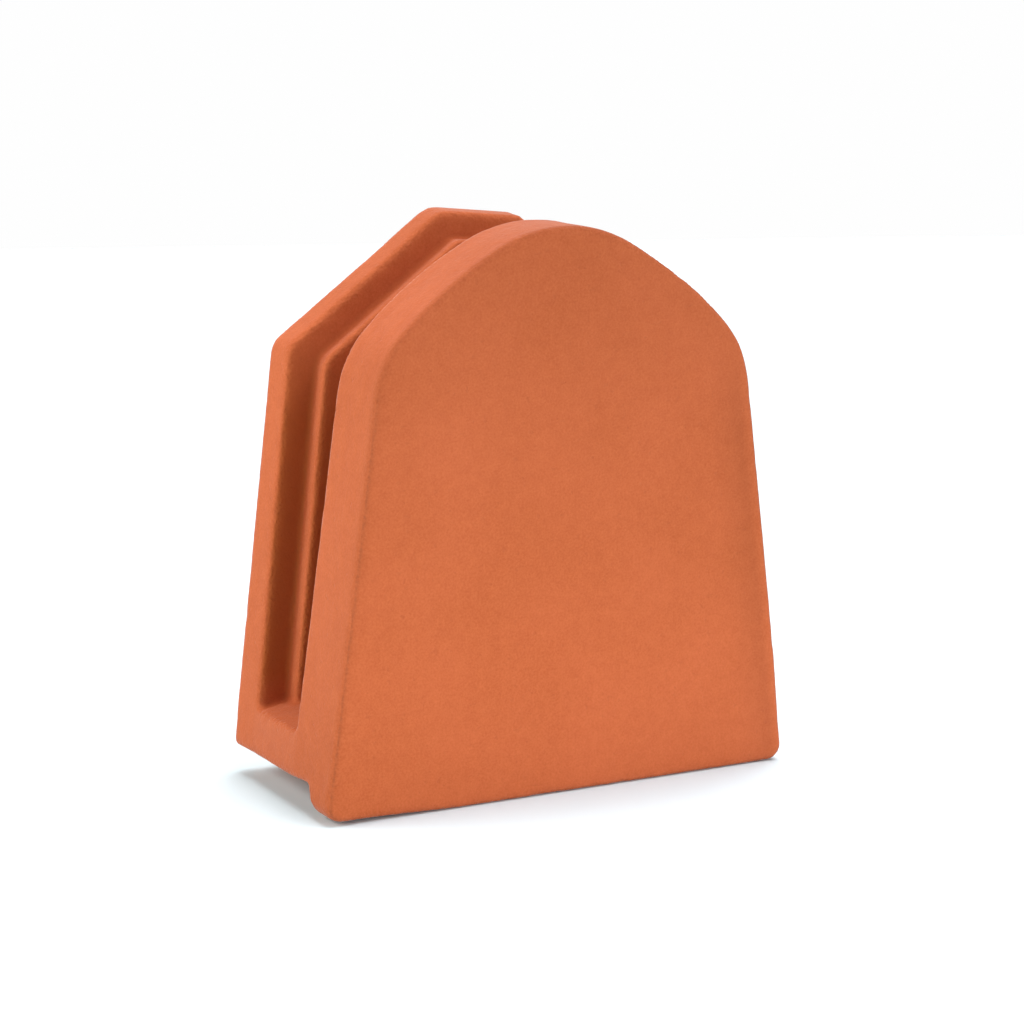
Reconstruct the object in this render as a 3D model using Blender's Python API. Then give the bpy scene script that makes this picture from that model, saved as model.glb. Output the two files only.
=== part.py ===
"""Verge end tile: a fired-clay block that closes the end of a roof's verge.

It is one pressed piece. An arched front plate and an angular rear plate stand on a common base. A wide
channel between them runs up both sides and over the top, and a small step backs it on the rear plate.
X runs across the tile, Y from its face to its back, and Z up from the surface that it stands on.
Lengths are in metres and angles in radians.
"""

import math

import bmesh
import bpy

# Front plate
FOOT_WIDTH = 0.240  # where its leaning sides would meet the floor
FRONT_THICKNESS = 0.0385  # at the floor
FRONT_BACK_DRAFT = math.radians(0.6)  # its back leans forward going up
FRONT_LEAN = math.radians(7.75)  # each side, in from upright
FRONT_SHOULDER_HEIGHT = 0.1815  # where its sides start to curve in
FRONT_SHOULDER_RADIUS = 0.049
FRONT_HAUNCH_RADIUS = 0.212
HAUNCH_START = math.radians(45.0)  # how far the outline has turned where the shoulder ends
CROWN_START = math.radians(60.7)  # and where the crown begins
FRONT_FLARE = 0.0021  # its back outline is larger than its face by this much all round

# Rear plate
REAR_FOOT_WIDTH = 0.2415  # where its leaning sides would meet the floor
REAR_THICKNESS = 0.0232  # at the floor
REAR_HEIGHT = 0.2605
REAR_LEAN = math.radians(6.65)
REAR_SHOULDER_HEIGHT = 0.1993  # of its sharp corner
REAR_SHOULDER_RADIUS = 0.0115
CREST_WIDTH = 0.0357  # of the flat top, between its sharp corners
CREST_RADIUS = 0.004
REAR_FLARE = 0.0014  # its back outline is larger than its front by this much

# Channel, and the step that backs it
CHANNEL_WIDTH = 0.0355  # at the floor, from the front plate to the step
CHANNEL_DEPTH = 0.021  # from the step's edge in to the neck
CHANNEL_BACK_DRAFT = math.radians(1.4)  # the step and the rear plate lean back going up
STEP_THICKNESS = 0.0098
STEP_RECESS = 0.0143  # from the rear plate's sides in to the step's
STEP_TOP_RECESS = 0.0132  # the same along the slopes and the crest
STEP_SHOULDER_RADIUS = 0.012
NECK_SHOULDER_RADIUS = 0.006

# Base
FLOOR_HEIGHT = 0.0335  # the channel's floor, at the tile's side
FLOOR_RISE = math.radians(10.8)  # it rises inwards, so that water runs out
UNDERSIDE_HEIGHT = 0.0124  # the base clears the floor by this much
LIP_THICKNESS = 0.019  # the front plate's lip, which hangs below the base
LIP_DRAFT = math.radians(16.4)  # its back leans back going up

# Bearing rib under the back of the base
RIB_THICKNESS = 0.016
RIB_SETBACK = 0.008  # from the tile's back
RIB_END_SETBACK = 0.036  # from the side of the foot
RIB_EDGE_RADIUS = 0.003

# Rounded edges and corners
FACE_EDGE_RADIUS = 0.003
PLATE_BACK_EDGE_RADIUS = 0.0025
STEP_EDGE_RADIUS = 0.0025
REAR_RIM_EDGE_RADIUS = 0.0032
BACK_EDGE_RADIUS = 0.003
LIP_CORNER_RADIUS = 0.007
BASE_CORNER_RADIUS = 0.003
LIP_EDGE_RADIUS = 0.005
LIP_FILLET_RADIUS = 0.004
FLOOR_EDGE_RADIUS = 0.0025
FLOOR_FILLET_RADIUS = 0.003
NECK_FILLET_RADIUS = 0.004
STEP_FILLET_RADIUS = 0.0022

# Faces along each curve
CORNER_STEPS = 5
FLOOR_STEPS = 3
SHOULDER_STEPS = 8
HAUNCH_STEPS = 6
CROWN_STEPS = 7
EDGE_STEPS = 4

RIGHT_ANGLE = math.pi / 2
SHARP_ANGLE = math.radians(32)
WELD_DISTANCE = 1e-5
JOIN_OVERLAP = 0.004  # how far the bearing rib reaches into the base

CLAY_COLOUR = (0.47, 0.111, 0.03, 1.0)
CLAY_ROUGHNESS = 0.9


def normal(angle):
    """Unit vector in the outline's plane, from +X towards +Z."""
    return (math.cos(angle), math.sin(angle))


def moved(point, direction, distance):
    return (point[0] + direction[0] * distance, point[1] + direction[1] * distance)


def arc(centre, radius, start, stop, steps):
    """Points of an arc, its first and last included."""
    return [moved(centre, normal(start + (stop - start) * i / steps), radius) for i in range(steps + 1)]


def line(start, stop, steps):
    """Points of a straight run, its first and last included."""
    return [
        (start[0] + (stop[0] - start[0]) * i / steps, start[1] + (stop[1] - start[1]) * i / steps)
        for i in range(steps + 1)
    ]


def mitre(first, second):
    """Where the corner of two edges goes, for each metre that both edges move out."""
    a, b = normal(first), normal(second)
    share = 1.0 + a[0] * b[0] + a[1] * b[1]
    return ((a[0] + b[0]) / share, (a[1] + b[1]) / share)


def rounded_corner(corner, first, second, radius, steps):
    """Arc inside a convex corner whose two edges face the angles first and second."""
    centre = moved(corner, mitre(first, second), -radius)
    return arc(centre, radius, first, second, steps)


def arched_edge(grow):
    """Right half of the front plate's outline above the base, from its shoulder to the centre line."""
    shoulder = (FOOT_WIDTH / 2 - FRONT_SHOULDER_HEIGHT * math.tan(FRONT_LEAN), FRONT_SHOULDER_HEIGHT)
    centre = moved(shoulder, normal(FRONT_LEAN), -FRONT_SHOULDER_RADIUS)
    points = arc(centre, FRONT_SHOULDER_RADIUS + grow, FRONT_LEAN, HAUNCH_START, SHOULDER_STEPS)
    centre = moved(centre, normal(HAUNCH_START), FRONT_SHOULDER_RADIUS - FRONT_HAUNCH_RADIUS)
    points += arc(centre, FRONT_HAUNCH_RADIUS + grow, HAUNCH_START, CROWN_START, HAUNCH_STEPS)[1:]
    crown_start = moved(centre, normal(CROWN_START), FRONT_HAUNCH_RADIUS)
    crown_radius = crown_start[0] / math.cos(CROWN_START)
    centre = moved(crown_start, normal(CROWN_START), -crown_radius)
    points += arc(centre, crown_radius + grow, CROWN_START, RIGHT_ANGLE, CROWN_STEPS)[1:]
    return points


def crossing(point, first, first_grow, second, second_grow):
    """Where two edges through point, facing two ways, cross once each has moved out by its distance."""
    spread = math.sin(second - first)
    across = (first_grow * math.sin(second) - second_grow * math.sin(first)) / spread
    up = (second_grow * math.cos(first) - first_grow * math.cos(second)) / spread
    return (point[0] + across, point[1] + up)


def angular_edge(grow, top_grow, shoulder_radius):
    """Right half of the rear plate's outline above the base, in as many points. Its side is moved out
    by grow, and its slope and crest by top_grow."""
    shoulder = (REAR_FOOT_WIDTH / 2 - REAR_SHOULDER_HEIGHT * math.tan(REAR_LEAN), REAR_SHOULDER_HEIGHT)
    crest = (CREST_WIDTH / 2, REAR_HEIGHT)
    slope_faces = math.atan2(shoulder[0] - crest[0], crest[1] - shoulder[1])
    shoulder = crossing(shoulder, REAR_LEAN, grow, slope_faces, top_grow)
    crest = moved(crest, mitre(slope_faces, RIGHT_ANGLE), top_grow)
    points = rounded_corner(shoulder, REAR_LEAN, slope_faces, shoulder_radius, SHOULDER_STEPS)
    bend = rounded_corner(crest, slope_faces, RIGHT_ANGLE, CREST_RADIUS, CROWN_STEPS - 1)
    points += line(points[-1], bend[0], HAUNCH_STEPS)[1:]
    points += bend[1:] + [(0.0, crest[1])]
    return points


def side_point(width, lean, grow):
    """Where a leaning side, moved out by grow, passes the height of the channel's floor."""
    return (width / 2 - FLOOR_HEIGHT * math.tan(lean) + grow / math.cos(lean), FLOOR_HEIGHT)


def side_angle(side):
    """The way the base's side faces. It runs straight up from the front plate's foot to the side point."""
    return math.atan2(FOOT_WIDTH / 2 - side[0], side[1])


def base_edge(foot_height, corner_radius, side):
    """Bottom of the right half's outline, from the centre line round its corner."""
    faces = side_angle(side)
    corner = (FOOT_WIDTH / 2 - foot_height * math.tan(faces), foot_height)
    return [(0.0, foot_height)] + rounded_corner(corner, -RIGHT_ANGLE, faces, corner_radius, CORNER_STEPS)


def plate_outline(side, lean, foot_height, corner_radius, top):
    """Right half of a plate's outline, in four runs: base, up to the floor, above it, and top."""
    faces = side_angle(side)
    reach = FLOOR_EDGE_RADIUS * math.tan((RIGHT_ANGLE - FLOOR_RISE - faces) / 2)
    below = moved(side, normal(faces - RIGHT_ANGLE), reach)
    low = moved(side, normal(lean + RIGHT_ANGLE), FLOOR_FILLET_RADIUS)
    high = moved(low, normal(lean + RIGHT_ANGLE), FLOOR_FILLET_RADIUS)
    base = base_edge(foot_height, corner_radius, side)
    return base, line(below, side, FLOOR_STEPS), line(low, high, FLOOR_STEPS), top


def front_outline(grow, foot_height, corner_radius):
    side = side_point(FOOT_WIDTH, FRONT_LEAN, grow)
    return plate_outline(side, FRONT_LEAN, foot_height, corner_radius, arched_edge(grow))


def rear_outline(grow):
    side = side_point(REAR_FOOT_WIDTH, REAR_LEAN, grow)
    top = angular_edge(grow, grow, REAR_SHOULDER_RADIUS + grow)
    return plate_outline(side, REAR_LEAN, UNDERSIDE_HEIGHT, BASE_CORNER_RADIUS, top)


def inner_foot(side, recess):
    """Where the channel's floor, rising from the side, meets the edge that stands recess further in."""
    slope, lean = math.tan(FLOOR_RISE), math.tan(REAR_LEAN)
    line_start = REAR_FOOT_WIDTH / 2 - recess / math.cos(REAR_LEAN)
    across = (line_start - lean * (side[1] + side[0] * slope)) / (1.0 - slope * lean)
    return (across, side[1] + (side[0] - across) * slope)


def channel_outline(recess, top_recess, shoulder_radius, share):
    """Right half of an outline inside the channel, in the same four runs. share is 0 at the front
    plate and 1 at the rear plate. The recesses are how far in from the rear plate's edge it stands."""
    near = side_point(FOOT_WIDTH, FRONT_LEAN, FRONT_FLARE)
    far = side_point(REAR_FOOT_WIDTH, REAR_LEAN, -REAR_FLARE)
    side = (near[0] + (far[0] - near[0]) * share, FLOOR_HEIGHT)
    floor_faces = RIGHT_ANGLE - FLOOR_RISE
    base = base_edge(UNDERSIDE_HEIGHT, BASE_CORNER_RADIUS, side)
    floor = rounded_corner(side, side_angle(side), floor_faces, FLOOR_EDGE_RADIUS, FLOOR_STEPS)
    centre = moved(inner_foot(side, recess), mitre(floor_faces, REAR_LEAN), FLOOR_FILLET_RADIUS)
    foot = arc(centre, -FLOOR_FILLET_RADIUS, floor_faces, REAR_LEAN, FLOOR_STEPS)
    return base, floor, foot, angular_edge(-recess, -top_recess, shoulder_radius)


def inset(points, distance):
    """The half outline with each of its edges moved in by distance, its ends kept on the centre line."""
    angles = [math.atan2(a[0] - b[0], b[1] - a[1]) for a, b in zip(points[:-1], points[1:])]
    angles = [-RIGHT_ANGLE] + angles[1:-1] + [RIGHT_ANGLE]
    result = [moved(points[0], normal(angles[0]), -distance)]
    for point, first, second in zip(points[1:-1], angles[:-1], angles[1:]):
        result.append(moved(point, mitre(first, second), -distance))
    result.append(moved(points[-1], normal(angles[-1]), -distance))
    return result


def face_depth(height):
    """Depth of the tile's face, which is upright. Depths count from the middle of the tile's foot."""
    return -(FRONT_THICKNESS + CHANNEL_WIDTH + STEP_THICKNESS + REAR_THICKNESS) / 2


def front_back(height):
    """Depth of the front plate's back."""
    return face_depth(height) + FRONT_THICKNESS - height * math.tan(FRONT_BACK_DRAFT)


def step_front(height):
    base = face_depth(height) + FRONT_THICKNESS + CHANNEL_WIDTH
    return base + height * math.tan(CHANNEL_BACK_DRAFT)


def rear_front(height):
    return step_front(height) + STEP_THICKNESS


def tile_back(height):
    """Depth of the tile's back, which is upright."""
    return rear_front(0.0) + REAR_THICKNESS


def ring(points, depth, shift=0.0):
    """One closed loop round the tile, from the right half of its outline. depth gives Y at a height."""
    right = [(x, depth(z) + shift, z) for x, z in points]
    left = [(-x, y, z) for x, y, z in reversed(right[1:-1])]
    return right + left


def whole_ring(outline, depth, trim, shift):
    """A loop whose whole outline is moved in by trim."""
    base, floor, foot, top = outline
    return ring(inset(base + floor + foot + top, trim), depth, shift)


def rim_ring(outline, depth, trim, shift):
    """A loop whose outline is moved in by trim above the channel's floor only."""
    base, floor, foot, top = outline
    points = base + floor + foot + top
    kept = len(base) + len(floor)
    return ring(points[:kept] + inset(points, trim)[kept:], depth, shift)


def channel_ring(recess, top_recess, shoulder_radius, wall, shift):
    """A loop inside the channel, shifted along the tile from a wall across it."""
    start, end = front_back(0.0), rear_front(0.0)
    share = (wall(0.0) + shift - start) / (end - start)
    base, floor, foot, top = channel_outline(recess, top_recess, shoulder_radius, share)
    return ring(base + floor + foot + top, wall, shift)


def quarter_turn(radius, forward, make_ring):
    """Loops round a rounded edge or fillet. It starts (forward) or ends at the flat wall that it leaves
    or reaches. make_ring takes the trim of the outline there and the shift from that wall."""
    rings = []
    for i in range(EDGE_STEPS + 1):
        turn = RIGHT_ANGLE * i / EDGE_STEPS
        trim, shift = radius * (1 - math.sin(turn)), radius * (1 - math.cos(turn))
        rings.append(make_ring(trim, shift if forward else -shift))
    return rings if forward else rings[::-1]


def lip_profile():
    """(distance back from the face, height) along the underside, from the lip's flat foot to the base."""
    root = (LIP_THICKNESS + UNDERSIDE_HEIGHT * math.tan(LIP_DRAFT), UNDERSIDE_HEIGHT)
    points = rounded_corner((LIP_THICKNESS, 0.0), -RIGHT_ANGLE, -LIP_DRAFT, LIP_EDGE_RADIUS, EDGE_STEPS)
    centre = moved(root, mitre(-LIP_DRAFT, -RIGHT_ANGLE), LIP_FILLET_RADIUS)
    return points + arc(centre, -LIP_FILLET_RADIUS, -LIP_DRAFT, -RIGHT_ANGLE, EDGE_STEPS)


def lip_rings():
    """Loops through the front plate, where its foot steps up from the lip to the base."""
    rings = []
    for back, height in lip_profile():
        share = height / UNDERSIDE_HEIGHT
        corner_radius = LIP_CORNER_RADIUS + (BASE_CORNER_RADIUS - LIP_CORNER_RADIUS) * share
        outline = front_outline(FRONT_FLARE * back / FRONT_THICKNESS, height, corner_radius)
        rings.append(whole_ring(outline, face_depth, 0.0, back))
    return rings


def front_rings():
    """Loops of the front plate, from its face to its back."""
    face = front_outline(0.0, 0.0, LIP_CORNER_RADIUS)
    back = front_outline(FRONT_FLARE, UNDERSIDE_HEIGHT, BASE_CORNER_RADIUS)
    rings = quarter_turn(
        FACE_EDGE_RADIUS, True, lambda trim, shift: whole_ring(face, face_depth, trim, shift)
    )
    rings += lip_rings()
    rings += quarter_turn(
        PLATE_BACK_EDGE_RADIUS, False, lambda trim, shift: rim_ring(back, front_back, trim, shift)
    )
    return rings


def neck_ring(wall, trim, shift):
    """A loop of the neck, which is larger by trim than at the middle of the channel."""
    recess = REAR_FLARE + STEP_RECESS + CHANNEL_DEPTH - trim
    return channel_ring(recess, recess, NECK_SHOULDER_RADIUS, wall, shift)


def step_ring(wall, trim, shift):
    """A loop of the step, which is smaller by trim than at its own edge."""
    recess = REAR_FLARE + STEP_RECESS + trim
    top_recess = REAR_FLARE + STEP_TOP_RECESS + trim
    return channel_ring(recess, top_recess, STEP_SHOULDER_RADIUS, wall, shift)


def channel_rings():
    """Loops of the neck and the step, from the front plate's back to the rear plate's front."""
    rings = quarter_turn(NECK_FILLET_RADIUS, True, lambda trim, shift: neck_ring(front_back, trim, shift))
    rings += quarter_turn(NECK_FILLET_RADIUS, False, lambda trim, shift: neck_ring(step_front, trim, shift))
    rings += quarter_turn(STEP_EDGE_RADIUS, True, lambda trim, shift: step_ring(step_front, trim, shift))
    rings += quarter_turn(STEP_FILLET_RADIUS, False, lambda trim, shift: step_ring(rear_front, -trim, shift))
    return rings


def rear_rings():
    """Loops of the rear plate, from its front to the tile's back."""
    front, back = rear_outline(-REAR_FLARE), rear_outline(0.0)
    rings = quarter_turn(
        REAR_RIM_EDGE_RADIUS, True, lambda trim, shift: rim_ring(front, rear_front, trim, shift)
    )
    rings += quarter_turn(
        BACK_EDGE_RADIUS, False, lambda trim, shift: whole_ring(back, tile_back, trim, shift)
    )
    return rings


def loft(mesh, rings):
    """Closed skin over the rings, capped at both ends."""
    loops = [[mesh.verts.new(point) for point in points] for points in rings]
    mesh.faces.new(loops[0])
    mesh.faces.new(reversed(loops[-1]))
    for near, far in zip(loops[:-1], loops[1:]):
        for i in range(len(near)):
            j = (i + 1) % len(near)
            mesh.faces.new((near[i], far[i], far[j], near[j]))
    bmesh.ops.remove_doubles(mesh, verts=mesh.verts, dist=WELD_DISTANCE)
    bmesh.ops.recalc_face_normals(mesh, faces=mesh.faces)


def mesh_object(name, mesh):
    data = bpy.data.meshes.new(name)
    mesh.to_mesh(data)
    mesh.free()
    thing = bpy.data.objects.new(name, data)
    bpy.context.scene.collection.objects.link(thing)
    return thing


def make_bearing_rib():
    """The low rib under the back of the base, rounded at its foot and its corners."""
    length = FOOT_WIDTH - 2 * RIB_END_SETBACK
    height = UNDERSIDE_HEIGHT + JOIN_OVERLAP
    middle = tile_back(0.0) - RIB_SETBACK - RIB_THICKNESS / 2
    mesh = bmesh.new()
    bmesh.ops.create_cube(mesh, size=1.0)
    bmesh.ops.scale(mesh, vec=(length, RIB_THICKNESS, height), verts=mesh.verts)
    bmesh.ops.translate(mesh, vec=(0.0, middle, height / 2), verts=mesh.verts)
    top = [edge for edge in mesh.edges if all(vert.co.z > height / 2 for vert in edge.verts)]
    rounded = [edge for edge in mesh.edges if edge not in top]
    bmesh.ops.bevel(
        mesh, geom=rounded, offset=RIB_EDGE_RADIUS, segments=EDGE_STEPS, profile=0.5, affect="EDGES"
    )
    rib = mesh_object("bearing_rib", mesh)
    rib.hide_render = True
    rib.display_type = "WIRE"
    return rib


def make_clay():
    clay = bpy.data.materials.new("fired_clay")
    clay.use_nodes = True
    shader = clay.node_tree.nodes["Principled BSDF"]
    shader.inputs["Base Color"].default_value = CLAY_COLOUR
    shader.inputs["Roughness"].default_value = CLAY_ROUGHNESS
    shader.inputs["Metallic"].default_value = 0.0
    return clay


def make_tile():
    mesh = bmesh.new()
    loft(mesh, front_rings() + channel_rings() + rear_rings())
    tile = mesh_object("end_tile", mesh)
    join = tile.modifiers.new("bearing rib", "BOOLEAN")
    join.operation = "UNION"
    join.solver = "EXACT"
    join.object = make_bearing_rib()
    tile.data.shade_smooth()
    tile.data.set_sharp_from_angle(angle=SHARP_ANGLE)
    tile.data.materials.append(make_clay())
    return tile


def clear_scene():
    for thing in list(bpy.data.objects):
        bpy.data.objects.remove(thing, do_unlink=True)


clear_scene()
make_tile()
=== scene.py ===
import math

import bmesh
import bpy
from mathutils import Matrix, Vector, noise


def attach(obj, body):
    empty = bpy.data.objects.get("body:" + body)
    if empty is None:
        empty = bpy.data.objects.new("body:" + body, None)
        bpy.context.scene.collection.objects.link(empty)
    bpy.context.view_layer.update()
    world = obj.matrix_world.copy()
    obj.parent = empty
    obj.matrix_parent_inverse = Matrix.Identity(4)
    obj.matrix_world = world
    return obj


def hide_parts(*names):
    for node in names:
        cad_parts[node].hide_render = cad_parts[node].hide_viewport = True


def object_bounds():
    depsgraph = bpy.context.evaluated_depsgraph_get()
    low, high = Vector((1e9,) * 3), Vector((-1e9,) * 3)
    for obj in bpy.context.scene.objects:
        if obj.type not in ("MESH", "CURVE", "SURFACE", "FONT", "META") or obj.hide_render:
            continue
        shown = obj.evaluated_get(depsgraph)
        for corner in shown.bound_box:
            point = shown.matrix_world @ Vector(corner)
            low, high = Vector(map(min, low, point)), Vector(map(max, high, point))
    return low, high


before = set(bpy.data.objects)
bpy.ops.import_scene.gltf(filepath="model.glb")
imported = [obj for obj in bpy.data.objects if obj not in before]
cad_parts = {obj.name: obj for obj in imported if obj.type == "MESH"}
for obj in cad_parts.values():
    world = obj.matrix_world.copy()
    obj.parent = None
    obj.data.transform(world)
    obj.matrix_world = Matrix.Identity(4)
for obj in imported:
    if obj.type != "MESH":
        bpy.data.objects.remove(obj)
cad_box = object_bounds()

# Verge end tile. One block of coarse red clay, pressed in a mould, trimmed along its arrises while it
# was leather-hard, and fired. The CAD solid's copy is cut into small even faces, and then gets what the
# hand and the kiln did: a crest dragged aside, a hollow face, soft dents and nicked arrises.
bpy.ops.object.select_all(action="DESELECT")
tile = bpy.data.objects.new("terracotta_tile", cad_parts["end_tile"].data.copy())
bpy.context.scene.collection.objects.link(tile)
bpy.context.view_layer.objects.active = tile
tile.select_set(True)
same_point = 0.00001
bpy.ops.object.mode_set(mode="EDIT")
bpy.ops.mesh.select_all(action="SELECT")
bpy.ops.mesh.remove_doubles(threshold=same_point)
bpy.ops.object.mode_set(mode="OBJECT")
face_size = 0.0017
even_faces = tile.modifiers.new("even faces", "REMESH")
even_faces.mode = "VOXEL"
even_faces.voxel_size = face_size
bpy.ops.object.modifier_apply(modifier="even faces")
snug = tile.modifiers.new("back on the mould", "SHRINKWRAP")
snug.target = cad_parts["end_tile"]
bpy.ops.object.modifier_apply(modifier="back on the mould")

# What the mould left: half the width of the foot, how far the sides lean in, and how far back the
# neck's middle, the end of the front plate and the skin of its face lie.
foot_half_width = 0.120
side_lean = math.radians(7.75)
neck_middle, plate_end, near_face = 0.002, -0.01, -0.04

# What the hand and the kiln did, as how far each moved the clay.
crest_sag, crest_drag, corner_rub = 0.0029, 0.0080, 0.0005
crown_sag = 0.0006
side_swell, shoulder_swell = 0.0006, 0.0007
toe_lift = 0.0015
face_hollow = 0.0006


def eased(value):
    """Zero to one with soft ends."""
    value = max(0.0, min(1.0, value))
    return value * value * (3.0 - 2.0 * value)


def rising(at, start, length):
    """Zero up to a start, and one from a length beyond it."""
    return eased((at - start) / length)


def falling(at, end, length):
    """One until a length before an end, and zero from there."""
    return eased((end - at) / length)


def near(at, middle, reach):
    """One in the middle, and zero from a reach on either side."""
    return eased(1.0 - abs(at - middle) / reach)


def worn_place(place, facing):
    """Where the kiln and the hand left a point of the mould's shape."""
    x, y, z = place
    if y > neck_middle:
        # The crest of the rear plate was dragged to the right, and falls that way. The neck follows less.
        drag = crest_drag * rising(x, 0.0, 0.016) * falling(x, 0.075, 0.05) * rising(z, 0.205, 0.045)
        crest_left, crest_length = -0.016, 0.044
        along_crest = max(0.0, min(1.0, (x + drag - crest_left) / crest_length))
        sag = along_crest * rising(z, 0.222, 0.03)
        # Its left corner is rubbed round, and the slope below it is a little full.
        rub = near(x, -0.0180, 0.005) * rising(z, 0.252, 0.008)
        full = rising(z, 0.238, 0.014) * falling(x, -0.012, 0.006) * falling(z, 0.2605, 0.004)
        share = rising(y, neck_middle, 0.018)
        across = drag - corner_rub * full
        down = crest_sag * sag + corner_rub * rub
        return Vector((x + share * across, y, z - share * down))
    # The crown of the front plate hangs a little on its right side.
    z -= crown_sag * (near(x, 0.042, 0.036) * rising(z, 0.18, 0.03))
    # Its right side swells above a toe that is worn in.
    if y < plate_end:
        swell = side_swell * (2.0 * rising(z, 0.010, 0.045) - 1.0)
        swell += shoulder_swell * rising(z, 0.185, 0.02) * falling(z, 0.245, 0.02)
        x += swell * rising(x, 0.03, 0.04)
    # Its left toe is worn round, and clears the ground.
    z += toe_lift * (falling(x, -0.050, 0.06) * falling(z, 0.035, 0.035) * falling(y, 0.0, 0.03))
    # The face dried a little hollow, which leaves a faint bead up each side.
    if y < near_face:
        side = foot_half_width - z * math.tan(side_lean)
        hollow = min(rising(side - x, 0.0035, 0.009), rising(side + x, 0.003, 0.014))
        hollow = max(hollow, rising(z, 0.170, 0.035))
        y += face_hollow * hollow * max(0.0, -facing.y)
    return Vector((x, y, z))


shape = bmesh.new()
shape.from_mesh(tile.data)
shape.normal_update()

# How round each point is: above zero on an arris, below zero in a fold, and one at the sharpest.
sharpest = 70.0
bend = []
for vert in shape.verts:
    total = 0.0
    for edge in vert.link_edges:
        away_from = vert.co - edge.other_vert(vert).co
        total += vert.normal.dot(away_from) / away_from.length_squared
    bend.append(max(-1.0, min(1.0, total / len(vert.link_edges) / sharpest)))
smoothing_rounds = 2
for smoothing in range(smoothing_rounds):
    around = [sum(bend[edge.other_vert(vert).index] for edge in vert.link_edges) for vert in shape.verts]
    bend = [0.5 * bend[vert.index] + 0.5 * around[vert.index] / len(vert.link_edges)
            for vert in shape.verts]

# Soft dents all over, and nicks along the arrises. Noise is in waves per metre, and each kind has its
# own corner of it. Dents sink more than they rise, and nicks come only here and there.
dent_depth, ripple_depth, grit_depth, nick_depth = 0.00012, 0.00005, 0.00004, 0.00045
mostly_sunk, seldom = 0.4, 0.1
places = []
for vert, bent in zip(shape.verts, bend):
    dents = noise.noise(vert.co * 14.0)
    ripples = noise.noise(vert.co * 60.0 + Vector((3.1, 0.0, 0.0)))
    grit = noise.noise(vert.co * 190.0 + Vector((0.0, 7.7, 0.0)))
    nicks = noise.noise(vert.co * 110.0 + Vector((0.0, 0.0, 5.3)))
    lift = dent_depth * (dents - mostly_sunk) + ripple_depth * (ripples - mostly_sunk)
    lift += grit_depth * (grit - mostly_sunk)
    lift -= nick_depth * max(0.0, bent) * max(0.0, nicks - seldom)
    places.append(worn_place(vert.co, vert.normal) + vert.normal * lift)

# The mould's own box holds it all.
low_corner, high_corner = cad_box
for vert, place in zip(shape.verts, places):
    vert.co = [max(low, min(high, at)) for low, at, high in zip(low_corner, place, high_corner)]
shape.to_mesh(tile.data)
shape.free()
tile.data.shade_smooth()

arris = tile.data.attributes.new("arris", "FLOAT", "POINT")
fold = tile.data.attributes.new("fold", "FLOAT", "POINT")
arris.data.foreach_set("value", [max(0.0, bent) for bent in bend])
fold.data.foreach_set("value", [max(0.0, -bent) for bent in bend])

# The fired clay: dull brick orange from the iron in it, dusty where light grazes it, and sandy to the
# touch. Its colours are built up from the firing clouds to the last pores, and then its relief.
clay = bpy.data.materials.new("fired_terracotta")
clay.use_nodes = True
nodes, links = clay.node_tree.nodes, clay.node_tree.links
shader = nodes["Principled BSDF"]
shader.inputs["Specular IOR Level"].default_value = 0.25
shader.inputs["Sheen Weight"].default_value = 0.25
shader.inputs["Sheen Roughness"].default_value = 0.3
on_tile = nodes.new("ShaderNodeTexCoord")


def clay_noise(scale, detail, roughness):
    """Noise that is fixed to the tile; scale is in waves per metre."""
    texture = nodes.new("ShaderNodeTexNoise")
    texture.inputs["Scale"].default_value = scale
    texture.inputs["Detail"].default_value = detail
    texture.inputs["Roughness"].default_value = roughness
    links.new(on_tile.outputs["Object"], texture.inputs["Vector"])
    return texture.outputs["Fac"]


def spread(source, low, high, to_low, to_high):
    """Stretch a value from one range to another."""
    ranged = nodes.new("ShaderNodeMapRange")
    ranged.inputs["From Min"].default_value = low
    ranged.inputs["From Max"].default_value = high
    ranged.inputs["To Min"].default_value = to_low
    ranged.inputs["To Max"].default_value = to_high
    links.new(source, ranged.inputs["Value"])
    return ranged.outputs["Result"]


def noise_spread(source, to_low, to_high):
    """Stretch the range that a noise mostly keeps to over another one."""
    return spread(source, 0.3, 0.7, to_low, to_high)


def combined(operation, first, second):
    """Two values joined by one sum."""
    sum_node = nodes.new("ShaderNodeMath")
    sum_node.operation = operation
    for socket, value in zip(sum_node.inputs, (first, second)):
        if isinstance(value, float):
            socket.default_value = value
        else:
            links.new(value, socket)
    return sum_node.outputs["Value"]


def stained(base, amount, colour):
    """Lay a colour over another, by an amount from zero to one."""
    layer = nodes.new("ShaderNodeMix")
    layer.data_type = "RGBA"
    links.new(amount, layer.inputs["Factor"])
    links.new(base, layer.inputs["A"])
    layer.inputs["B"].default_value = (*colour, 1.0)
    return layer.outputs["Result"]


def surface_value(name):
    """Read one of the tile's own values, by its name."""
    reading = nodes.new("ShaderNodeAttribute")
    reading.attribute_name = name
    return reading.outputs["Fac"]


def split(source):
    """Part a direction or a place into its three sides."""
    parts = nodes.new("ShaderNodeSeparateXYZ")
    links.new(source, parts.inputs["Vector"])
    return parts.outputs["X"], parts.outputs["Y"], parts.outputs["Z"]


rightwards, back, height = split(on_tile.outputs["Object"])
turned_back = split(on_tile.outputs["Normal"])[1]

# Firing clouds, a hand's breadth across, from redder to more orange.
kiln_red, kiln_orange = (0.426, 0.083, 0.0194), (0.481, 0.098, 0.0283)
clouds = nodes.new("ShaderNodeValToRGB")
clouds.color_ramp.elements[0].position = 0.35
clouds.color_ramp.elements[0].color = (*kiln_red, 1.0)
clouds.color_ramp.elements[1].position = 0.65
clouds.color_ramp.elements[1].color = (*kiln_orange, 1.0)
links.new(clay_noise(12.0, 4.0, 0.55), clouds.inputs["Fac"])
colour = clouds.outputs["Color"]

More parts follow.
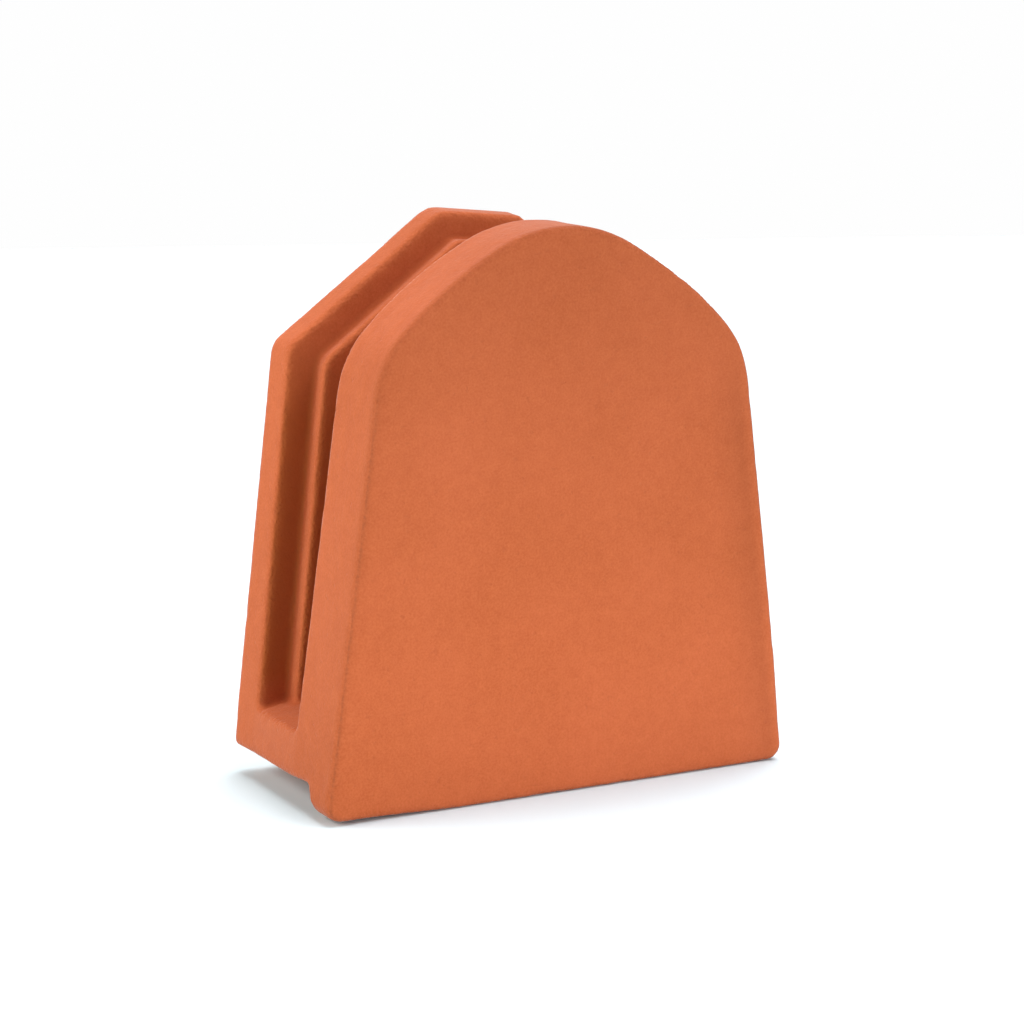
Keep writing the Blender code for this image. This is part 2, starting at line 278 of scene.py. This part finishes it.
# Mottling of the skin, a few millimetres across, and sand grain of a millimetre. Both show as paler
# dust and as a change of shade.
pale_dust = (0.60, 0.170, 0.070)
mottle = clay_noise(170.0, 4.0, 0.6)
grain = clay_noise(1000.0, 3.0, 0.6)
pale = combined("ADD", noise_spread(mottle, 0.02, 0.18), noise_spread(grain, 0.0, 0.24))
colour = stained(colour, pale, pale_dust)
shade = combined("MULTIPLY", noise_spread(mottle, 0.983, 1.017), noise_spread(grain, 0.97, 1.03))

# Arrises: a thin darker line with specks, plainest low on the sides. It runs where the surface has
# turned halfway from the face to the rim.
arris_line_clay = (0.29, 0.072, 0.026)
halfway_turned = 0.74
off_the_line = combined("ABSOLUTE", combined("ADD", turned_back, halfway_turned), 0.0)
specks = spread(clay_noise(700.0, 2.0, 0.5), 0.42, 0.62, 0.15, 0.55)
arris_line = combined("MULTIPLY", spread(off_the_line, 0.04, 0.22, 1.0, 0.0), specks)
arris_line = combined("MULTIPLY", arris_line, spread(height, 0.155, 0.190, 1.0, 0.3))
arris_line = combined("MULTIPLY", arris_line, spread(back, -0.047, -0.045, 1.0, 0.0))
colour = stained(colour, arris_line, arris_line_clay)

# Folds are painted a deeper red, as painted shade in the creases.
fold_shade_clay = (0.38, 0.065, 0.016)
colour = stained(colour, spread(surface_value("fold"), 0.15, 0.9, 0.0, 0.6), fold_shade_clay)

# Painted shade in the channel: the clay is painted deeper on its back wall, which leans back with
# the rear plate, and deepest on its neck, the part most sheltered from the light.
wall_shade_clay, neck_shade_clay = (0.360, 0.077, 0.014), (0.175, 0.029, 0.004)
wall_lean = math.radians(1.4)
behind = combined("SUBTRACT", back, combined("MULTIPLY", height, math.tan(wall_lean)))
low_down = combined("MULTIPLY", spread(height, 0.035, 0.050, 0.0, 0.9),
                    spread(height, 0.165, 0.210, 1.0, 0.0))
on_wall = combined("MULTIPLY", spread(behind, 0.0, 0.004, 0.0, 1.0),
                   spread(behind, 0.031, 0.033, 1.0, 0.0))
on_wall = combined("MULTIPLY", on_wall, spread(turned_back, -0.8, -0.4, 1.0, 0.0))
colour = stained(colour, combined("MULTIPLY", on_wall, low_down), wall_shade_clay)
on_neck = combined("MULTIPLY", spread(back, -0.0143, -0.0135, 0.0, 1.0),
                   spread(behind, 0.0194, 0.0200, 1.0, 0.0))
colour = stained(colour, combined("MULTIPLY", on_neck, low_down), neck_shade_clay)

# Small pores, a centimetre or so apart.
pore_clay = (0.27, 0.060, 0.020)
pore_stain = 0.12
pores = spread(clay_noise(330.0, 1.0, 0.5), 0.70, 0.76, 0.0, 1.0)
colour = stained(colour, combined("MULTIPLY", pores, pore_stain), pore_clay)

# Painted shade: the face is painted darker towards its crown than low down, where more light reaches it.
crown_shade = 0.15
on_face = spread(back, -0.0510, -0.0475, 1.0, 0.0)
face_shade = combined("MULTIPLY", on_face, spread(height, 0.06, 0.235, 0.0, crown_shade))
shade = combined("MULTIPLY", shade, combined("SUBTRACT", 1.0, face_shade))

# A finger's width of painted shade runs down the face, a little in from its right side, where the face
# rolls away from the light.
band_shade_depth = 0.10
lean_shift = combined("MULTIPLY", height, math.tan(side_lean))
from_side = combined("SUBTRACT", foot_half_width, combined("ADD", rightwards, lean_shift))
shaded_band = combined("MULTIPLY", spread(from_side, 0.003, 0.007, 0.0, 1.0),
                spread(from_side, 0.008, 0.024, 1.0, 0.0))
below_shoulder = spread(height, 0.17, 0.20, band_shade_depth, 0.0)
shaded_band = combined("MULTIPLY", shaded_band, combined("MULTIPLY", on_face, below_shoulder))
shade = combined("MULTIPLY", shade, combined("SUBTRACT", 1.0, shaded_band))

tint = nodes.new("ShaderNodeVectorMath")
tint.operation = "SCALE"
links.new(colour, tint.inputs[0])
links.new(shade, tint.inputs["Scale"])
links.new(tint.outputs["Vector"], shader.inputs["Base Color"])
links.new(noise_spread(mottle, 0.84, 0.96), shader.inputs["Roughness"])


def relief(value, depth, underneath=None):
    """Let a value stand proud of the surface, by a depth in metres, over other relief."""
    bump = nodes.new("ShaderNodeBump")
    bump.inputs["Distance"].default_value = depth
    links.new(value, bump.inputs["Height"])
    if underneath:
        links.new(underneath.outputs["Normal"], bump.inputs["Normal"])
    return bump


# Sand, mottling and pores stand proud or sink, sand most of all along the arrises.
sand = relief(grain, 0.0003)
sand.inputs["Strength"].default_value = 0.55
crumbs = relief(clay_noise(480.0, 2.0, 0.6), 0.0009, sand)
links.new(spread(surface_value("arris"), 0.15, 0.8, 0.0, 0.8), crumbs.inputs["Strength"])
skin = relief(combined("SUBTRACT", mottle, combined("MULTIPLY", pores, 0.3)), 0.0006, crumbs)
skin.inputs["Strength"].default_value = 0.5
links.new(skin.outputs["Normal"], shader.inputs["Normal"])

tile.data.materials.clear()
tile.data.materials.append(clay)
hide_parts("end_tile")
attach(tile, "root")

# Floor. A wide sheet of white studio paper, lying flat under the tile. It reflects no highlights, and
# it isn't part of the object.
paper_tone = (0.72, 0.84, 0.90)
bpy.ops.object.select_all(action="DESELECT")
bpy.ops.mesh.primitive_plane_add(size=14.0, location=(0.0, 0.0, 0.0))
floor = bpy.context.active_object
floor.name = "studio_floor"
paper = bpy.data.materials.new("studio_paper")
paper.use_nodes = True
paper_shader = paper.node_tree.nodes["Principled BSDF"]
paper_shader.inputs["Base Color"].default_value = (*paper_tone, 1.0)
paper_shader.inputs["Roughness"].default_value = 1.0
paper_shader.inputs["Specular IOR Level"].default_value = 0.0
floor.data.materials.append(paper)

# Light. Large soft lamps, far enough off to light the whole floor evenly: one overhead, a faint one
# from the left behind, and three from the front and the right. One lit card stands low in front and
# one on the left. The room itself shows white, and gives next to no light.
room_light, room_white = 0.02, 0.992
lamp_width = math.radians(40.0)
world = bpy.data.worlds.new("studio")
bpy.context.scene.world = world
world.use_nodes = True
backdrop = world.node_tree.nodes["Background"]
backdrop.inputs["Color"].default_value = (1.0, 1.0, 1.0, 1.0)
ray = world.node_tree.nodes.new("ShaderNodeLightPath")
brightness = world.node_tree.nodes.new("ShaderNodeMapRange")
brightness.inputs["To Min"].default_value = room_light
brightness.inputs["To Max"].default_value = room_white
world.node_tree.links.new(ray.outputs["Is Camera Ray"], brightness.inputs["Value"])
world.node_tree.links.new(brightness.outputs["Result"], backdrop.inputs["Strength"])


def towards(azimuth, elevation):
    """A direction; azimuth runs from the front to the right, both are in degrees."""
    azimuth, elevation = math.radians(azimuth), math.radians(elevation)
    return Vector((math.sin(azimuth) * math.cos(elevation),
                   -math.cos(azimuth) * math.cos(elevation),
                   math.sin(elevation)))


def hung(name, light, strength, colour, away):
    """Hang a lamp of one strength and colour, shining back along a direction."""
    light.energy = strength
    light.color = colour
    lamp = bpy.data.objects.new(name, light)
    lamp.rotation_euler = away.to_track_quat("Z", "Y").to_euler()
    bpy.context.scene.collection.objects.link(lamp)
    return lamp


def soft_lamp(name, azimuth, elevation, strength, colour=(1.0, 1.0, 1.0)):
    """A lamp like a large softbox in the distance."""
    light = bpy.data.lights.new(name, "SUN")
    light.angle = lamp_width
    hung(name, light, strength, colour, towards(azimuth, elevation))


def card(name, place, aim, size, strength, colour=(1.0, 1.0, 1.0)):
    """A lit card near the tile, out of the picture."""
    light = bpy.data.lights.new(name, "AREA")
    light.size = size
    lamp = hung(name, light, strength, colour, Vector(place) - Vector(aim))
    lamp.location = place
    lamp.visible_camera = False


soft_lamp("overhead", 115.0, 80.0, 2.42)
soft_lamp("window", -110.0, 30.0, 0.40, (1.0, 0.99, 0.92))
soft_lamp("key", 12.0, 15.0, 0.90)
soft_lamp("key_top", 45.0, 50.0, 1.25)
soft_lamp("back_right", 135.0, 50.0, 0.90)
card("front_card", (-0.02, -0.42, 0.02), (0.0, 0.0, 0.12), 0.3, 1.0)
card("left_card", (-0.60, 0.14, 0.34), (-0.08, 0.0, 0.10), 0.4, 2.85, (1.0, 0.985, 0.92))

# Camera. It stands a metre off, a little to the left and a little above the tile, where the
# photograph's outline and inner edges put it.
azimuth, elevation, roll = -29.342, 8.76, math.radians(0.191)
aim, distance = Vector((-0.0028, -0.0035, 0.1207)), 1.01655
away = towards(azimuth, elevation)
across = Vector((math.cos(math.radians(azimuth)), math.sin(math.radians(azimuth)), 0.0))
upward = away.cross(across)
turned_across = across * math.cos(roll) + upward * math.sin(roll)
turned_upward = upward * math.cos(roll) - across * math.sin(roll)
turn = Matrix((turned_across, turned_upward, away)).transposed()
lens = bpy.data.cameras.new("camera")
lens.sensor_width = 36.0
lens.lens = 77.37
lens.shift_x = 0.0015
lens.shift_y = 0.0014
camera = bpy.data.objects.new("camera", lens)
bpy.context.scene.collection.objects.link(camera)
camera.matrix_world = Matrix.Translation(aim + away * distance) @ turn.to_4x4()
bpy.context.scene.camera = camera
bpy.context.scene.view_settings.view_transform = "Standard"
